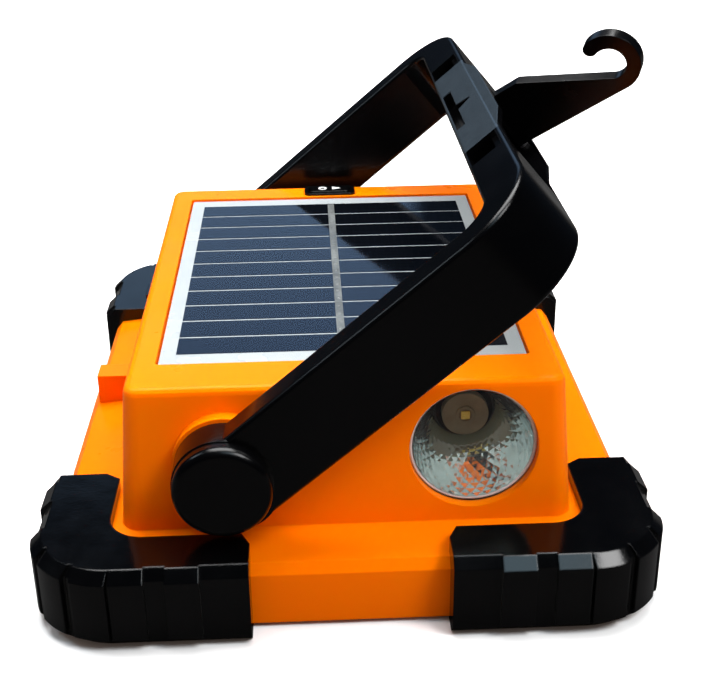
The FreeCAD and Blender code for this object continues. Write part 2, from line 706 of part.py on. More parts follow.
# ------------------------------------------------------------------ hook
def hook_outline():
    """Side profile of the hook: reach from the pin along X, height along Z."""
    def on_curl(radius, degrees):
        angle = math.radians(degrees)
        return V(CURL_REACH + radius * math.cos(angle), 0, CURL_MID + radius * math.sin(angle))

    def curl_arc(radius, first, last):
        points = [on_curl(radius, angle) for angle in (first, (first + last) / 2, last)]
        return Part.Arc(*points).toShape()

    base, tip, throat = -90, 108, -110
    middle_r = (CURL_IN + CURL_OUT) / 2
    nose_turn = math.degrees((CURL_OUT - CURL_IN) / 2 / middle_r)
    nose = on_curl(middle_r, tip + nose_turn)
    root_low = V(0, 0, BLADE_LOW)
    root_high = V(0, 0, BLADE_TOP)
    shoulder = V(11.6, 0, BLADE_TOP)
    edges = [Part.makeLine(root_low, on_curl(CURL_OUT, base)),
             curl_arc(CURL_OUT, base, tip),
             Part.Arc(on_curl(CURL_OUT, tip), nose, on_curl(CURL_IN, tip)).toShape(),
             curl_arc(CURL_IN, tip, throat),
             Part.makeLine(on_curl(CURL_IN, throat), shoulder),
             Part.makeLine(shoulder, root_high),
             Part.makeLine(root_high, root_low)]
    return Part.Face(Part.Wire(edges))


def hook():
    blade = hook_outline().extrude(V(0, BLADE_T, 0))
    blade.translate(V(0, -BLADE_T / 2, 0))
    knuckle = rod(2.1, (0, 0, BLADE_LOW), Z_AXIS, BLADE_TOP - BLADE_LOW)
    blade = blade.fuse(knuckle).cut(rod(PIN_HOLE_R, (0, 0, BLADE_LOW - 1), Z_AXIS, 22))
    blade.translate(V(0, 0, ARM_MID))
    blade.rotate(V(0, 0, 0), Z_AXIS, -HOOK_SWING)
    blade.translate(V(PIN_REACH, 0, 0))
    return in_handle_place(blade)


def rear_case_with_ears():
    case = fuse_all([rear_case()] + port_hinge_ears())
    return case.cut(rod(0.95, (PORT_PIN_X, PORT_Y - 16, PORT_PIN_Z), Y_AXIS, 32))


def build_nodes():
    nodes = {
        "rear_case": rear_case_with_ears(),
        "bumper_near_left": bumper(-1, -1),
        "bumper_near_right": bumper(1, -1),
        "bumper_far_left": bumper(-1, 1),
        "bumper_far_right": bumper(1, 1),
        "front_bezel": front_bezel(),
        "front_gasket": front_gasket(),
        "flood_lens": flood_lens(),
        "flood_reflector": flood_reflector(),
        "led_board": led_board(),
        "led_chips": led_chips(),
        "panel_adhesive": panel_adhesive(),
        "solar_laminate": solar_laminate(),
        "solar_cells": solar_cells(),
        "solar_ribbon": solar_ribbon(),
        "solar_film": solar_film(),
        "torch_reflector": torch_reflector(),
        "torch_lens": torch_lens(),
        "torch_board": torch_board(),
        "torch_led": torch_led(),
        "battery_cell_1": battery_cell(0),
        "battery_cell_2": battery_cell(1),
        "battery_holder": battery_holder(),
        "main_board": main_board(),
        "board_components": board_components(),
        "switch_board": switch_board(),
        "tact_switch": tact_switch(),
        "button_bezel": button_bezel(),
        "mode_button": mode_button(),
        "button_icon": button_icon(),
        "usb_socket": usb_socket(),
        "charge_socket": charge_socket(),
        "port_cover": port_cover(),
        "case_screws": case_screws(),
        "board_screws": board_screws(),
        "solar_lead": solar_lead(),
        "battery_lead": battery_lead(),
        "flood_lead": flood_lead(),
        "torch_lead": torch_lead(),
        "switch_lead": switch_lead(),
        "handle_frame": handle_frame(),
        "hook_pin": hook_pin(),
        "hook": hook(),
    }
    for name, side in (("near", -1), ("far", 1)):
        nodes["pivot_bolt_" + name] = pivot_bolt(side)
        nodes["pivot_nut_" + name] = pivot_nut(side)
        nodes["friction_washer_" + name] = friction_washer(side)
        nodes["pivot_cap_" + name] = pivot_cap(side)
    return nodes


def main():
    os.makedirs("parts", exist_ok=True)
    for name, shape in build_nodes().items():
        solids = shape.Solids
        whole = solids[0] if len(solids) == 1 else Part.makeCompound(solids)
        print(name, len(solids), round(whole.Volume, 1), whole.isValid())
        whole.exportStep("parts/" + name + ".step")


main()
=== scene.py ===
import bmesh
import bpy
import math
from mathutils import Matrix, Vector


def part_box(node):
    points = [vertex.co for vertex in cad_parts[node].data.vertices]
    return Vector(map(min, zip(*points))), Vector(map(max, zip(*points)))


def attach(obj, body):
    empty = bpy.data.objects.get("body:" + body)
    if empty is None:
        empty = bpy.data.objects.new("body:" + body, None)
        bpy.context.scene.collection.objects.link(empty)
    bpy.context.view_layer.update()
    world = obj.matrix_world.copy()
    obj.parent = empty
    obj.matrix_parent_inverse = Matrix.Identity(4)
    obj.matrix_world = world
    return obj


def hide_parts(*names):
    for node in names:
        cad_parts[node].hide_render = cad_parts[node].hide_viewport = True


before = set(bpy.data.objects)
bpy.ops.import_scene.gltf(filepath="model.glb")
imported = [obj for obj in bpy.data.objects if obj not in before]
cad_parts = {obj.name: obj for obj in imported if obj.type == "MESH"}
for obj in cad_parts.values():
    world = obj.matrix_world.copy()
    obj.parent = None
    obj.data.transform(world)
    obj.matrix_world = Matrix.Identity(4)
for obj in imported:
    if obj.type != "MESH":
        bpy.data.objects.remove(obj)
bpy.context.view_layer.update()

MM = 0.001

# Camera: where the lamp is seen from, in its own frame, and the camera's angles in degrees.
CAMERA_AT = (-7.96 * MM, -338.75 * MM, 193.04 * MM)
CAMERA_DOWN = 25.14
CAMERA_YAW = 2.17
CAMERA_ROLL = -0.77
CAMERA_LENS, SENSOR_WIDTH = 63.56, 36.0

# World: what the camera sees, the warm fill light, and what mirror-like surfaces see.
WHITE = (1.0, 1.0, 1.0)
BACKDROP = 1.1
WORLD_FILL = 0.27
FILL_TINT = (1.0, 0.78, 0.66)
WALL_DIM, WALL_BRIGHT = 0.03, 0.95
WALL_TINT = (0.42, 0.66, 1.0)
WORLD_MIRRORED_TWICE = 0.7
TWICE_TINT = (0.8, 0.8, 0.8)

# Glossy Depth of a ray that has met two mirror-like surfaces is over this.
TWO_MIRRORS = 1.5

# Edges of the cool window behind the lamp, as shares of a mirror ray's unit direction:
# where it starts to show or to fade, and where it is full or gone.
WINDOW_SILL, WINDOW_HEAD = (0.22, 0.30), (0.46, 0.52)
WINDOW_BEHIND = (0.70, 0.82)
WINDOW_LEFT, WINDOW_RIGHT = (-0.30, -0.20), (0.070, 0.095)

# Floor: half its width, its place just under the feet, its colour to each kind of ray,
# and the distances from the lamp between which it turns white.
FLOOR_HALF, FLOOR_DROP = 6.0, 0.2 * MM
FLOOR_BOUNCE = (0.36, 0.26, 0.21)
FLOOR_MIRRORED = (0.05, 0.05, 0.05)
FLOOR_MIRRORED_TWICE = (0.24, 0.24, 0.23)
FLOOR_FADE_FROM, FLOOR_FADE_TO = 0.25, 0.9

# Where every light is aimed.
LIGHT_AIM = (0.0, 0.0, 0.03)

# The handle's own axes (pivot in x and z, tilt in degrees) and the painted sheen, slate grey, on its
# cross bar: over this height above the arms' middle, past this reach, and this far either side.
HANDLE_PIVOT, HANDLE_TILT = (-29.5 * MM, 38.0 * MM), 40.23
PAINTED_SHEEN_HEIGHT, PAINTED_SHEEN_REACH, PAINTED_SHEEN_HALF = 8.6 * MM, 87.0 * MM, 37.0 * MM

# Solar cells: spacing of the silver fingers, and the share of it that one finger takes.
FINGER_PITCH, FINGER_SHARE = 2.1 * MM, 0.07

# Torch: the cup's radii and depth, its facets in rows that crowd towards the mouth, the bead
# round its rim, and the die's half sizes and how far its middle lies behind the LED's face.
TORCH_LOW, TORCH_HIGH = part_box("torch_reflector")
TORCH_MID = (TORCH_LOW + TORCH_HIGH) / 2
CUP_MOUTH, CUP_THROAT, CUP_DEPTH = 14.9 * MM, 7.4 * MM, 18.0 * MM
CUP_FACETS, CUP_ROWS, CUP_CROWDING = 34, 10, 1.25
RIM_BEAD, RIM_STEPS, RIM_TURNS = 0.50 * MM, 96, 8
DIE_HALF, DIE_THICK, DIE_SINK, DIE_BEVEL = 1.15 * MM, 0.22 * MM, 0.10 * MM, 0.18 * MM

# Flood light: its LEDs' grid and half sizes, the share of the height that a white package
# takes, and the yellow window's shares of the LED.
LED_COLUMNS, LED_ROWS, LED_PITCH = 8, 11, 11.8 * MM
LED_HALF_X, LED_HALF_Y = 1.4 * MM, 1.75 * MM
PACKAGE_SHARE, PACKAGE_BEVEL = 0.9, 0.12 * MM
GLOW_SHARE_X, GLOW_SHARE_Y, GLOW_SHARE_Z, GLOW_BEVEL = 0.7, 0.75, 0.3, 0.06 * MM

# Solder beads along the panel's ribbon: how many, their half sizes, and how far they stray
# from the ribbon's middle and from their own size.
BEAD_COUNT = 22
BEAD_HALF_X, BEAD_HALF_Y, BEAD_HALF_Z = 0.8 * MM, 1.35 * MM, 0.09 * MM
BEAD_STRAY, BEAD_SPREAD = 0.12 * MM, 0.2


# ------------------------------------------------------------------ node helpers
# Colour sockets of Blender's Mix node: its first and second inputs, and its output.
MIX_FIRST, MIX_SECOND, MIX_RESULT = 6, 7, 2


class Shade:
    """A Principled material with object coordinates ready to use."""

    def __init__(self, name):
        self.material = bpy.data.materials.new(name)
        self.material.use_nodes = True
        self.tree = self.material.node_tree
        self.nodes = self.tree.nodes
        self.shader = self.nodes["Principled BSDF"]
        self.place = self.nodes.new("ShaderNodeTexCoord").outputs["Object"]

    def link(self, source, target):
        self.tree.links.new(source, target)

    def set(self, **values):
        for key, value in values.items():
            self.shader.inputs[key.replace("_", " ")].default_value = value

    def stretched(self, scale):
        mapping = self.nodes.new("ShaderNodeMapping")
        mapping.inputs["Scale"].default_value = scale
        self.link(self.place, mapping.inputs["Vector"])
        return mapping.outputs["Vector"]

    def noise(self, scale, detail=3.0, roughness=0.55, vector=None):
        node = self.nodes.new("ShaderNodeTexNoise")
        node.inputs["Scale"].default_value = scale
        node.inputs["Detail"].default_value = detail
        node.inputs["Roughness"].default_value = roughness
        self.link(vector or self.place, node.inputs["Vector"])
        return node.outputs["Fac"]

    def cells(self, scale, feature="F1"):
        node = self.nodes.new("ShaderNodeTexVoronoi")
        node.feature = feature
        node.inputs["Scale"].default_value = scale
        self.link(self.place, node.inputs["Vector"])
        return node.outputs["Distance"]

    def ramp(self, source, stops):
        node = self.nodes.new("ShaderNodeValToRGB")
        elements = node.color_ramp.elements
        while len(elements) < len(stops):
            elements.new(0.5)
        for element, (position, colour) in zip(elements, stops):
            element.position = position
            element.color = (*colour, 1.0)
        self.link(source, node.inputs["Fac"])
        return node.outputs["Color"]

    def range(self, source, low, high, from_low=0.3, from_high=0.7):
        node = self.nodes.new("ShaderNodeMapRange")
        node.inputs["From Min"].default_value = from_low
        node.inputs["From Max"].default_value = from_high
        node.inputs["To Min"].default_value = low
        node.inputs["To Max"].default_value = high
        self.link(source, node.inputs["Value"])
        return node.outputs["Result"]

    def math(self, operation, first, second=0.0):
        node = self.nodes.new("ShaderNodeMath")
        node.operation = operation
        for socket, value in zip(node.inputs, (first, second)):
            if isinstance(value, (int, float)):
                socket.default_value = value
            else:
                self.link(value, socket)
        return node.outputs[0]

    def mix(self, factor, first, second):
        node = self.nodes.new("ShaderNodeMix")
        node.data_type = "RGBA"
        self.link(factor, node.inputs["Factor"])
        colour_sockets = node.inputs[MIX_FIRST], node.inputs[MIX_SECOND]
        for socket, value in zip(colour_sockets, (first, second)):
            if isinstance(value, tuple):
                socket.default_value = (*value, 1.0)
            else:
                self.link(value, socket)
        return node.outputs[MIX_RESULT]

    def axis(self, index):
        node = self.nodes.new("ShaderNodeSeparateXYZ")
        self.link(self.place, node.inputs[0])
        return node.outputs[index]

    def bump(self, heights, edge=0.0):
        """Stack (height, depth in metres) bumps, over edges rounded by edge metres."""
        normal = None
        if edge:
            bevel = self.nodes.new("ShaderNodeBevel")
            bevel.samples = 4
            bevel.inputs["Radius"].default_value = edge
            normal = bevel.outputs["Normal"]
        for height, depth in heights:
            node = self.nodes.new("ShaderNodeBump")
            node.inputs["Distance"].default_value = depth
            node.inputs["Strength"].default_value = 1.0
            self.link(height, node.inputs["Height"])
            if normal is not None:
                self.link(normal, node.inputs["Normal"])
            normal = node.outputs["Normal"]
        if normal is not None:
            self.link(normal, self.shader.inputs["Normal"])

    def colour(self, source):
        self.link(source, self.shader.inputs["Base Color"])

    def roughness(self, source):
        self.link(source, self.shader.inputs["Roughness"])


# ------------------------------------------------------------------ materials
def orange_plastic():
    """Moulded orange ABS: satin, faint flow marks, light scuffs."""
    shade = Shade("orange_plastic")
    flow = shade.noise(14.0, 2.0)
    tint = shade.ramp(flow, [(0.30, (0.88, 0.154, 0.0)), (0.70, (0.93, 0.182, 0.0))])
    scuff = shade.noise(160.0, 5.0, 0.7, shade.stretched((1.0, 0.25, 1.0)))
    worn = shade.range(scuff, 0.0, 0.10, 0.62, 0.80)
    shade.colour(shade.mix(worn, tint, (0.98, 0.25, 0.01)))
    shade.roughness(shade.range(shade.noise(45.0, 4.0), 0.26, 0.38))
    shade.set(IOR=1.5, Specular_IOR_Level=0.12, Subsurface_Weight=0.20, Subsurface_Scale=0.005)
    shade.shader.inputs["Subsurface Radius"].default_value = (1.0, 0.22, 0.04)
    shade.shader.inputs["Specular Tint"].default_value = (1.0, 0.48, 0.06, 1.0)
    shade.bump([(shade.noise(900.0, 2.0), 0.000012), (flow, 0.00006)], 0.0005)
    return shade.material


def painted_sheen_panel(shade):
    """1 on the upper edge of the cross bar, in the stretch between its two bands, where sheen is
    painted; else 0.
    """
    turn = math.radians(HANDLE_TILT)
    x = shade.math("SUBTRACT", shade.axis(0), HANDLE_PIVOT[0])
    z = shade.math("SUBTRACT", shade.axis(2), HANDLE_PIVOT[1])
    x_along = shade.math("MULTIPLY", x, math.cos(turn))
    z_along = shade.math("MULTIPLY", z, math.sin(turn))
    x_across = shade.math("MULTIPLY", x, math.sin(turn))
    z_across = shade.math("MULTIPLY", z, math.cos(turn))
    reach = shade.math("ADD", x_along, z_along)
    height = shade.math("SUBTRACT", z_across, x_across)
    on_top = shade.math("GREATER_THAN", height, PAINTED_SHEEN_HEIGHT)
    on_bar = shade.math("GREATER_THAN", reach, PAINTED_SHEEN_REACH)
    between = shade.math("LESS_THAN", shade.math("ABSOLUTE", shade.axis(1)), PAINTED_SHEEN_HALF)
    return shade.math("MULTIPLY", shade.math("MULTIPLY", on_top, on_bar), between)


def black_plastic(name, low, high, grain, edge, painted_sheen=False):
    """Moulded black plastic with orange peel and fine hairline wear.

    If asked, the stretch of the handle's cross bar between its two bands gets painted sheen: slate
    grey in its colour on the upper face.
    """
    shade = Shade(name)
    cloud = shade.noise(22.0, 3.0)
    tint = shade.ramp(cloud, [(0.3, (0.0004, 0.0004, 0.0005)), (0.7, (0.0009, 0.0009, 0.0012))])
    hair = shade.noise(240.0, 6.0, 0.75, shade.stretched((0.15, 1.0, 0.15)))
    worn = shade.mix(shade.range(hair, 0.0, 0.25, 0.66, 0.82), tint, (0.004, 0.0045, 0.005))
    if painted_sheen:
        # Painted sheen: a slate grey that stands in for light reflected from the cross bar's upper
        # face.
        painted_sheen_tint = [(0.3, (0.018, 0.024, 0.030)), (0.7, (0.023, 0.031, 0.039))]
        painted_sheen_grey = shade.ramp(shade.noise(500.0, 4.0), painted_sheen_tint)
        # From here the colour holds both the wear and the painted sheen.
        worn = shade.mix(painted_sheen_panel(shade), worn, painted_sheen_grey)
    shade.colour(worn)
    shade.roughness(shade.range(shade.noise(60.0, 4.0), low, high))
    shade.set(Specular_IOR_Level=0.18)
    shade.bump([(shade.noise(700.0, 2.0), grain), (shade.noise(70.0, 1.0), grain * 4)], edge)
    return shade.material


def bumper_rubber():
    """Thick moulded rubber with a fine spark-eroded grain and a patchy film of dust."""
    shade = Shade("bumper_rubber")
    cloud = shade.noise(30.0, 3.0)
    tint = shade.ramp(cloud, [(0.3, (0.0004, 0.0004, 0.0005)), (0.7, (0.0010, 0.0010, 0.0012))])
    dust = shade.noise(380.0, 5.0, 0.7)
    shade.colour(shade.mix(shade.range(dust, 0.0, 0.20, 0.60, 0.80), tint, (0.004, 0.004, 0.004)))
    shade.roughness(shade.range(shade.noise(90.0, 4.0), 0.10, 0.18))
    shade.set(Specular_IOR_Level=0.26)
    shade.bump([(shade.cells(1500.0), 0.000006), (shade.noise(120.0, 2.0), 0.00003)], 0.0006)
    return shade.material


def panel_white():
    """White backing sheet under the cover, lightly mottled, with a faint weave."""
    shade = Shade("panel_white")
    blotch = shade.noise(60.0, 3.0)
    tint = shade.ramp(blotch, [(0.3, (0.36, 0.395, 0.405)), (0.7, (0.40, 0.43, 0.44))])
    weave = shade.noise(1400.0, 1.0, 0.5, shade.stretched((1.0, 0.3, 1.0)))
    shade.colour(shade.mix(shade.range(weave, 0.0, 0.12), tint, (0.31, 0.345, 0.36)))
    shade.roughness(shade.range(blotch, 0.20, 0.30))
    shade.bump([(weave, 0.00001)])
    return shade.material


def solar_cell():
    """Dark blue silicon: thin silver fingers, tone changes from strip to strip."""
    shade = Shade("solar_cell")
    strips = shade.noise(1.0, 0.0, 0.5, shade.stretched((2.0, 97.0, 1.0)))
    grain = shade.cells(420.0)
    base = shade.ramp(strips, [(0.35, (0.0004, 0.0007, 0.0016)), (0.65, (0.0007, 0.0011, 0.0024))])
    speck = shade.mix(shade.range(grain, 0.0, 0.30, 0.2, 0.9), base, (0.0010, 0.0017, 0.0038))
    wave = shade.math("FRACT", shade.math("DIVIDE", shade.axis(0), FINGER_PITCH))
    finger = shade.math("LESS_THAN", wave, FINGER_SHARE)
    shade.colour(shade.mix(shade.math("MULTIPLY", finger, 0.12), speck, (0.012, 0.016, 0.024)))
    shade.roughness(shade.range(shade.noise(40.0, 2.0), 0.05, 0.08))
    shade.set(Specular_IOR_Level=0.5)
    shade.shader.inputs["Specular Tint"].default_value = (0.34, 0.50, 1.0, 1.0)
    shade.bump([(shade.noise(25.0, 2.0), 0.00001)])
    return shade.material


def tinned_ribbon():
    """Tinned copper ribbon: dull silver with drawn-out flow marks."""
    shade = Shade("tinned_ribbon")
    flow = shade.noise(300.0, 4.0, 0.6, shade.stretched((1.0, 0.2, 1.0)))
    shade.colour(shade.ramp(flow, [(0.3, (0.14, 0.15, 0.15)), (0.7, (0.21, 0.225, 0.22))]))
    shade.roughness(shade.range(flow, 0.32, 0.5))
    shade.set(Metallic=0.55)
    shade.bump([(flow, 0.00004)])
    return shade.material


def clear_cover(name, alpha, tint):
    """Clear plastic seen through, with faint smears in its gloss."""
    shade = Shade(name)
    smear = shade.noise(35.0, 4.0, 0.6)
    paler = tuple(min(1.0, part * 1.05) for part in tint)
    shade.colour(shade.ramp(smear, [(0.3, tint), (0.7, paler)]))
    shade.roughness(shade.range(smear, 0.02, 0.09))
    shade.set(Alpha=alpha)
    shade.bump([(shade.noise(50.0, 1.0), 0.00003)])
    return shade.material


def chrome():
    """Vacuum-metallised plastic with a slight haze."""
    shade = Shade("chrome")
    haze = shade.noise(180.0, 3.0)
    shade.colour(shade.ramp(haze, [(0.3, (0.73, 0.80, 0.79)), (0.7, (0.84, 0.92, 0.91))]))
    shade.roughness(shade.range(haze, 0.02, 0.07))
    shade.set(Metallic=0.94)
    shade.bump([(shade.noise(400.0, 2.0), 0.000015)])
    return shade.material


def metal(name, dark, light, low, high):
    """Plated metal with fine marks."""
    shade = Shade(name)
    marks = shade.noise(900.0, 3.0, 0.6)
    shade.colour(shade.ramp(marks, [(0.3, dark), (0.7, light)]))
    shade.roughness(shade.range(marks, low, high))
    shade.set(Metallic=0.9)
    shade.bump([(marks, 0.00002)], 0.0002)
    return shade.material


def dull(name, dark, light, low, high, scale=220.0, depth=0.00004, edge=0.0003):
    """Plain moulded or printed part: mottled colour and a fine grain."""
    shade = Shade(name)
    mottle = shade.noise(scale, 4.0)
    shade.colour(shade.ramp(mottle, [(0.3, dark), (0.7, light)]))
    shade.roughness(shade.range(mottle, low, high))
    shade.set(Specular_IOR_Level=0.4)
    shade.bump([(mottle, depth)], edge)
    return shade.material


def phosphor():
    """Yellow phosphor over an LED die."""
    shade = Shade("phosphor")
    grain = shade.noise(2200.0, 3.0)
    shade.colour(shade.ramp(grain, [(0.3, (0.62, 0.46, 0.05)), (0.7, (0.80, 0.66, 0.16))]))
    shade.roughness(shade.range(grain, 0.35, 0.55))
    shade.set(Subsurface_Weight=0.1, Subsurface_Scale=0.0005)
    shade.bump([(grain, 0.00002)])
    return shade.material


def circuit_board():
    """Green solder mask over copper tracks."""
    shade = Shade("circuit_board")
    trace = shade.cells(260.0, "DISTANCE_TO_EDGE")
    line = shade.math("LESS_THAN", trace, 0.06)
    shade.colour(shade.mix(line, (0.008, 0.10, 0.035), (0.02, 0.22, 0.08)))
    shade.roughness(shade.range(shade.noise(300.0), 0.25, 0.4))
    shade.bump([(line, 0.00003)])
    return shade.material


# ------------------------------------------------------------------ mesh helpers
def place_mesh(name, mesh, material, body):
    """Put a mesh in the scene as a piece that moves with a CAD body."""
    piece = bpy.data.objects.new(name, mesh)
    bpy.context.scene.collection.objects.link(piece)
    mesh.materials.append(material)
    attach(piece, body)
    return piece


def place_work(name, work, material, body):
    """The same for a finished bmesh, which is freed here."""
    mesh = bpy.data.meshes.new(name)
    work.to_mesh(mesh)
    work.free()
    return place_mesh(name, mesh, material, body)


def torch_point(radius, angle, depth):
    """Point on the torch: radius and angle about its axis, depth behind its rim."""
    x = TORCH_MID.x + radius * math.cos(angle)
    z = TORCH_MID.z + radius * math.sin(angle)
    return (x, TORCH_LOW.y + depth, z)


def cup_facets():
    """Points and triangles of the cup, a paraboloid; each row is turned half a step."""
    points = []
    faces = []
    for row in range(CUP_ROWS + 1):
        depth = CUP_DEPTH * (row / CUP_ROWS) ** CUP_CROWDING
        radius = math.sqrt(CUP_MOUTH ** 2 - (CUP_MOUTH ** 2 - CUP_THROAT ** 2) * depth / CUP_DEPTH)
        for step in range(CUP_FACETS):
            angle = 2 * math.pi * (step + 0.5 * (row % 2)) / CUP_FACETS
            points.append(torch_point(radius, angle, depth))
    for row in range(CUP_ROWS):
        here, there = row * CUP_FACETS, (row + 1) * CUP_FACETS
        for step in range(CUP_FACETS):
            after = (step + 1) % CUP_FACETS
            if row % 2 == 0:
                faces.append((here + step, there + step, here + after))
                faces.append((here + after, there + step, there + after))
            else:
                faces.append((here + step, there + step, there + after))
                faces.append((here + step, there + after, here + after))
    return points, faces


def cup_rim(first_point):
    """Points and faces of the half-round bead at the cup's mouth, numbered from first_point."""
    points = []
    faces = []
    for turn in range(RIM_TURNS + 1):
        lean = math.pi * turn / RIM_TURNS
        radius = CUP_MOUTH + RIM_BEAD * (1 - math.cos(lean))
        depth = RIM_BEAD * (1 - math.sin(lean))
        for step in range(RIM_STEPS):
            points.append(torch_point(radius, 2 * math.pi * step / RIM_STEPS, depth))
    for turn in range(RIM_TURNS):
        here = first_point + turn * RIM_STEPS
        there = here + RIM_STEPS
        for step in range(RIM_STEPS):
            after = (step + 1) % RIM_STEPS
            faces.append((here + step, here + after, there + after, there + step))
    return points, faces


def faceted_reflector(material, polished):
    """The torch's cup: rows of flat mirror facets inside a smooth polished rim."""
    points, faces = cup_facets()
    smooth_from = len(faces)
    rim_points, rim_faces = cup_rim(len(points))
    mesh = bpy.data.meshes.new("torch_cup_facets")
    mesh.from_pydata(points + rim_points, [], faces + rim_faces)
    mesh.update()
    piece = place_mesh("torch_cup_facets", mesh, material, "lamp")
    piece.data.materials.append(polished)
    for face in piece.data.polygons[smooth_from:]:
        face.use_smooth = True
        face.material_index = 1
    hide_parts("torch_reflector")


def bevelled_blocks(name, blocks, bevel, material, body):
    """Many small boxes, each (centre, half sizes) in metres, with bevelled edges."""
    work = bmesh.new()
    for centre, half in blocks:
        size = Matrix.Diagonal((2 * half[0], 2 * half[1], 2 * half[2], 1.0))
        bmesh.ops.create_cube(work, size=1.0, matrix=Matrix.Translation(Vector(centre)) @ size)
    bmesh.ops.bevel(work, geom=list(work.edges), offset=bevel, segments=2, profile=0.5,
                    affect="EDGES", clamp_overlap=True)
    return place_work(name, work, material, body)


def flood_leds(white, yellow):
    """Surface-mount LEDs of the flood light: white packages with yellow windows below."""
    low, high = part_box("led_chips")
    half_z = (high.z - low.z) / 2
    package_z = half_z * PACKAGE_SHARE
    window_z = half_z * GLOW_SHARE_Z
    package_half = (LED_HALF_X, LED_HALF_Y, package_z)
    window_half = (LED_HALF_X * GLOW_SHARE_X, LED_HALF_Y * GLOW_SHARE_Y, window_z)
    packages = []
    windows = []
    for column in range(LED_COLUMNS):
        for row in range(LED_ROWS):
            x = (column - (LED_COLUMNS - 1) / 2) * LED_PITCH
            y = (row - (LED_ROWS - 1) / 2) * LED_PITCH
            packages.append(((x, y, high.z - package_z), package_half))
            windows.append(((x, y, low.z + window_z), window_half))
    body = bevelled_blocks("flood_led_packages", packages, PACKAGE_BEVEL, white, "lamp")
    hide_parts("led_chips")
    bevelled_blocks("flood_led_windows", windows, GLOW_BEVEL, yellow, "lamp")


def torch_die(yellow):
    """The torch LED's yellow die on its grey base."""
    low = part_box("torch_led")[0]
    centre = (TORCH_MID.x, low.y + DIE_SINK, TORCH_MID.z)
    half = (DIE_HALF, DIE_THICK, DIE_HALF)
    bevelled_blocks("torch_led_die", [(centre, half)], DIE_BEVEL, yellow, "lamp")


def solder_beads(tin):
    """Low uneven beads of solder along the ribbon, two for each strip of the panel."""
    low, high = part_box("solar_ribbon")
    work = bmesh.new()
    for index in range(BEAD_COUNT):
        along = low.y + (high.y - low.y) * (index + 0.5) / BEAD_COUNT
        aside = BEAD_STRAY * math.sin(2.3 * index)
        size = 1.0 + BEAD_SPREAD * math.sin(1.7 * index + 0.4)
        shape = Matrix.Diagonal((BEAD_HALF_X * size, BEAD_HALF_Y * size, BEAD_HALF_Z, 1.0))
        place = Matrix.Translation((aside, along, high.z))
        bmesh.ops.create_icosphere(work, subdivisions=2, radius=1.0, matrix=place @ shape)
    for face in work.faces:
        face.smooth = True
    place_work("solder_beads", work, tin, "lamp")


# ------------------------------------------------------------------ dressing the CAD nodes
def paint_nodes():
    """Give the CAD nodes that stay their materials; return those that the new pieces use."""
    orange = orange_plastic()
    gloss = black_plastic("gloss_black", 0.16, 0.30, 0.000010, 0.0004)
    # The handle's black plastic carries painted sheen, slate grey, on its cross bar's upper face.
    handle = black_plastic("handle_black", 0.14, 0.26, 0.000010, 0.0004, painted_sheen=True)
    matt = black_plastic("satin_black", 0.35, 0.50, 0.000020, 0.0003)
    rubber = bumper_rubber()
    white = panel_white()
    cell = solar_cell()
    ribbon = tinned_ribbon()
    film = clear_cover("panel_cover", 0.05, (0.008, 0.011, 0.014))
    lens = clear_cover("torch_cover", 0.06, (0.05, 0.05, 0.055))
    flood = clear_cover("flood_cover", 0.14, (0.20, 0.21, 0.22))
    mirror = chrome()
    rim = dull("polished_rim", (0.62, 0.62, 0.63), (0.80, 0.80, 0.80), 0.10, 0.20, 90.0, 0.00001, 0.0)
    zinc = metal("zinc_plate", (0.36, 0.36, 0.37), (0.52, 0.52, 0.53), 0.30, 0.45)
    led_grey = dull("led_base", (0.17, 0.145, 0.085), (0.23, 0.195, 0.12), 0.35, 0.5)
    sleeve = dull("battery_sleeve", (0.01, 0.06, 0.22), (0.02, 0.09, 0.30), 0.22, 0.35)
    seal = dull("seal_rubber", (0.012, 0.012, 0.012), (0.03, 0.03, 0.03), 0.6, 0.8)
    mask = dull("white_mask", (0.70, 0.71, 0.71), (0.80, 0.81, 0.81), 0.30, 0.42)
    chip = dull("chip_epoxy", (0.012, 0.012, 0.013), (0.03, 0.03, 0.03), 0.45, 0.6)
    mark = dull("printed_mark", (0.72, 0.73, 0.73), (0.85, 0.85, 0.85), 0.4, 0.55)
    lead = dull("lead_sleeve", (0.30, 0.012, 0.01), (0.42, 0.02, 0.015), 0.4, 0.55)
    glow = phosphor()
    board = circuit_board()
    chosen = {
        orange: ["rear_case"],
        handle: ["handle_frame"],
        gloss: ["hook", "pivot_cap_near", "pivot_cap_far", "button_bezel"],
        matt: ["front_bezel", "battery_holder", "charge_socket", "torch_board"],
        rubber: ["bumper_near_left", "bumper_near_right", "bumper_far_left",
                 "bumper_far_right", "port_cover", "mode_button"],
        white: ["solar_laminate"],
        cell: ["solar_cells"],
        ribbon: ["solar_ribbon"],
        film: ["solar_film"],
        lens: ["torch_lens"],
        flood: ["flood_lens"],
        mirror: ["flood_reflector"],
        zinc: ["usb_socket", "case_screws", "board_screws", "hook_pin", "pivot_bolt_near",
               "pivot_bolt_far", "pivot_nut_near", "pivot_nut_far", "friction_washer_near",
               "friction_washer_far"],
        led_grey: ["torch_led"],
        sleeve: ["battery_cell_1", "battery_cell_2"],
        seal: ["front_gasket", "panel_adhesive"],
        mask: ["led_board"],
        chip: ["board_components", "tact_switch"],
        mark: ["button_icon"],
        lead: ["solar_lead", "battery_lead", "flood_lead", "torch_lead", "switch_lead"],
        board: ["main_board", "switch_board"],
    }
    for material, names in chosen.items():
        for name in names:
            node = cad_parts[name]
            node.data.materials.clear()
            node.data.materials.append(material)
    return {"mirror": mirror, "rim": rim, "glow": glow, "mask": mask, "ribbon": ribbon}


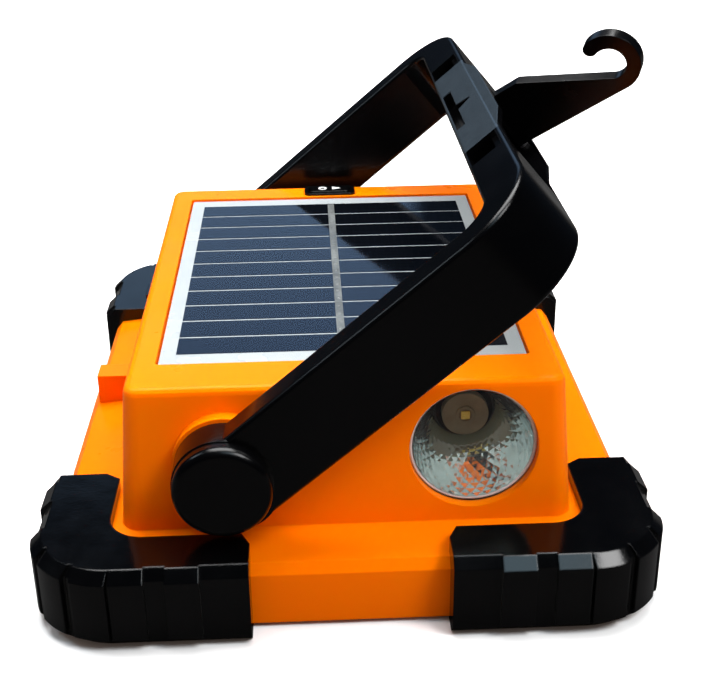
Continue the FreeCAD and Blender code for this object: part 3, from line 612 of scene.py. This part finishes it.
# ------------------------------------------------------------------ studio
def camera():
    """A pinhole camera without depth of field, turned by its own three angles."""
    down = math.radians(CAMERA_DOWN)
    yaw = math.radians(CAMERA_YAW)
    roll = math.radians(CAMERA_ROLL)
    ahead = Vector((math.sin(yaw) * math.cos(down), math.cos(yaw) * math.cos(down), -math.sin(down)))
    right = ahead.cross(Vector((0, 0, 1))).normalized()
    up = right.cross(ahead)
    side = right * math.cos(roll) + up * math.sin(roll)
    top = up * math.cos(roll) - right * math.sin(roll)
    data = bpy.data.cameras.new("camera")
    data.lens = CAMERA_LENS
    data.sensor_width = SENSOR_WIDTH
    data.clip_start = 0.01
    data.clip_end = 50.0
    made = bpy.data.objects.new("camera", data)
    bpy.context.scene.collection.objects.link(made)
    turn = Matrix((side, top, -ahead)).transposed().to_4x4()
    made.matrix_world = Matrix.Translation(Vector(CAMERA_AT)) @ turn
    bpy.context.scene.camera = made


def area_light(name, at, width, height, power, colour=WHITE):
    """A rectangular soft box, aimed at the lamp."""
    data = bpy.data.lights.new(name, "AREA")
    data.shape = "RECTANGLE"
    data.size = width
    data.size_y = height
    data.energy = power
    data.color = colour
    light = bpy.data.objects.new(name, data)
    bpy.context.scene.collection.objects.link(light)
    light.location = at
    light.rotation_mode = "QUATERNION"
    aim = Vector(LIGHT_AIM) - Vector(at)
    light.rotation_quaternion = aim.to_track_quat("-Z", "Y")


def floor():
    """Pale paper sweep, white far away; dim in mirror rays so that black plastic stays black."""
    corners = [(-1, -1), (1, -1), (1, 1), (-1, 1)]
    points = [(FLOOR_HALF * x, FLOOR_HALF * y, -FLOOR_DROP) for x, y in corners]
    mesh = bpy.data.meshes.new("floor")
    mesh.from_pydata(points, [], [(0, 1, 2, 3)])
    piece = bpy.data.objects.new("floor", mesh)
    bpy.context.scene.collection.objects.link(piece)
    shade = Shade("floor_paper")
    paper = shade.ramp(shade.noise(6.0, 2.0), [(0.3, (0.90, 0.90, 0.90)), (0.7, (0.93, 0.93, 0.93))])
    rays = shade.nodes.new("ShaderNodeLightPath")
    again = shade.math("GREATER_THAN", rays.outputs["Glossy Depth"], TWO_MIRRORS)
    mirrored = shade.mix(again, FLOOR_MIRRORED, FLOOR_MIRRORED_TWICE)
    bounced = shade.mix(rays.outputs["Is Glossy Ray"], FLOOR_BOUNCE, mirrored)
    shade.colour(shade.mix(rays.outputs["Is Camera Ray"], bounced, paper))
    away = shade.nodes.new("ShaderNodeVectorMath")
    away.operation = "LENGTH"
    shade.link(shade.place, away.inputs[0])
    sweep = shade.range(away.outputs["Value"], 0.0, 1.0, FLOOR_FADE_FROM, FLOOR_FADE_TO)
    glow = shade.math("MULTIPLY", sweep, rays.outputs["Is Camera Ray"])
    shade.shader.inputs["Emission Color"].default_value = (*WHITE, 1.0)
    shade.link(glow, shade.shader.inputs["Emission Strength"])
    shade.set(Roughness=0.9, Specular_IOR_Level=0.1)
    mesh.materials.append(shade.material)


class WorldShade:
    """The world's node tree, with the few kinds of node that the studio needs."""

    def __init__(self, world):
        world.use_nodes = True
        self.tree = world.node_tree
        self.nodes = self.tree.nodes
        self.nodes.remove(self.nodes["Background"])
        self.rays = self.nodes.new("ShaderNodeLightPath").outputs
        split = self.nodes.new("ShaderNodeSeparateXYZ")
        self.link(self.nodes.new("ShaderNodeTexCoord").outputs["Generated"], split.inputs[0])
        self.direction = split.outputs

    def link(self, source, target):
        self.tree.links.new(source, target)

    def rising(self, axis, edge, low=0.0, high=1.0):
        """Smoothly from low to high while the ray's direction along an axis crosses an edge."""
        node = self.nodes.new("ShaderNodeMapRange")
        node.interpolation_type = "SMOOTHSTEP"
        node.inputs["From Min"].default_value = edge[0]
        node.inputs["From Max"].default_value = edge[1]
        node.inputs["To Min"].default_value = low
        node.inputs["To Max"].default_value = high
        self.link(self.direction[axis], node.inputs["Value"])
        return node.outputs["Result"]

    def falling(self, axis, edge):
        return self.rising(axis, edge, 1.0, 0.0)

    def times(self, first, second):
        node = self.nodes.new("ShaderNodeMath")
        node.operation = "MULTIPLY"
        self.link(first, node.inputs[0])
        self.link(second, node.inputs[1])
        return node.outputs[0]

    def above(self, value, limit):
        node = self.nodes.new("ShaderNodeMath")
        node.operation = "GREATER_THAN"
        node.inputs[1].default_value = limit
        self.link(value, node.inputs[0])
        return node.outputs[0]

    def light(self, colour, strength=1.0):
        """The whole node, because the window drives its strength."""
        node = self.nodes.new("ShaderNodeBackground")
        node.inputs["Color"].default_value = (*colour, 1.0)
        node.inputs["Strength"].default_value = strength
        return node

    def choose(self, factor, otherwise, chosen):
        node = self.nodes.new("ShaderNodeMixShader")
        self.link(factor, node.inputs[0])
        self.link(otherwise, node.inputs[1])
        self.link(chosen, node.inputs[2])
        return node.outputs[0]


def studio_world():
    """Even fill light; mirror rays see a cool window low behind the lamp and little else."""
    world = bpy.data.worlds.new("studio")
    bpy.context.scene.world = world
    studio_tree = WorldShade(world)
    window = studio_tree.times(studio_tree.rising(2, WINDOW_SILL), studio_tree.falling(2, WINDOW_HEAD))
    window = studio_tree.times(window, studio_tree.rising(1, WINDOW_BEHIND))
    window = studio_tree.times(window, studio_tree.rising(0, WINDOW_LEFT))
    window = studio_tree.times(window, studio_tree.falling(0, WINDOW_RIGHT))
    strength = studio_tree.nodes.new("ShaderNodeMapRange")
    strength.inputs["To Min"].default_value = WALL_DIM
    strength.inputs["To Max"].default_value = WALL_BRIGHT
    studio_tree.link(window, strength.inputs["Value"])
    seen_once = studio_tree.light(WALL_TINT)
    studio_tree.link(strength.outputs["Result"], seen_once.inputs["Strength"])
    seen_twice = studio_tree.light(TWICE_TINT, WORLD_MIRRORED_TWICE)
    fill = studio_tree.light(FILL_TINT, WORLD_FILL)
    backdrop = studio_tree.light(WHITE, BACKDROP)
    again = studio_tree.above(studio_tree.rays["Glossy Depth"], TWO_MIRRORS)
    mirrored = studio_tree.choose(again, seen_once.outputs[0], seen_twice.outputs[0])
    lit = studio_tree.choose(studio_tree.rays["Is Glossy Ray"], fill.outputs[0], mirrored)
    shown = studio_tree.choose(studio_tree.rays["Is Camera Ray"], lit, backdrop.outputs[0])
    studio_tree.link(shown, studio_tree.nodes["World Output"].inputs["Surface"])


def studio():
    """World and lights: each light has its place, width, height, power in watts and colour."""
    studio_world()
    area_light("top_soft", (-0.04, 0.22, 0.98), 0.70, 0.70, 24.0)
    area_light("key_right", (0.50, -0.46, 0.84), 0.38, 0.38, 8.6)
    area_light("facet_strip", (0.14, -0.50, 0.84), 0.24, 0.34, 1.2, (0.60, 0.85, 1.0))
    area_light("left_strip", (-0.70, 0.08, 0.68), 0.16, 0.30, 1.5, (0.75, 0.90, 1.0))
    bpy.context.scene.view_settings.view_transform = "Standard"


materials = paint_nodes()
faceted_reflector(materials["mirror"], materials["rim"])
flood_leds(materials["mask"], materials["glow"])
torch_die(materials["glow"])
solder_beads(materials["ribbon"])
camera()
floor()
studio()
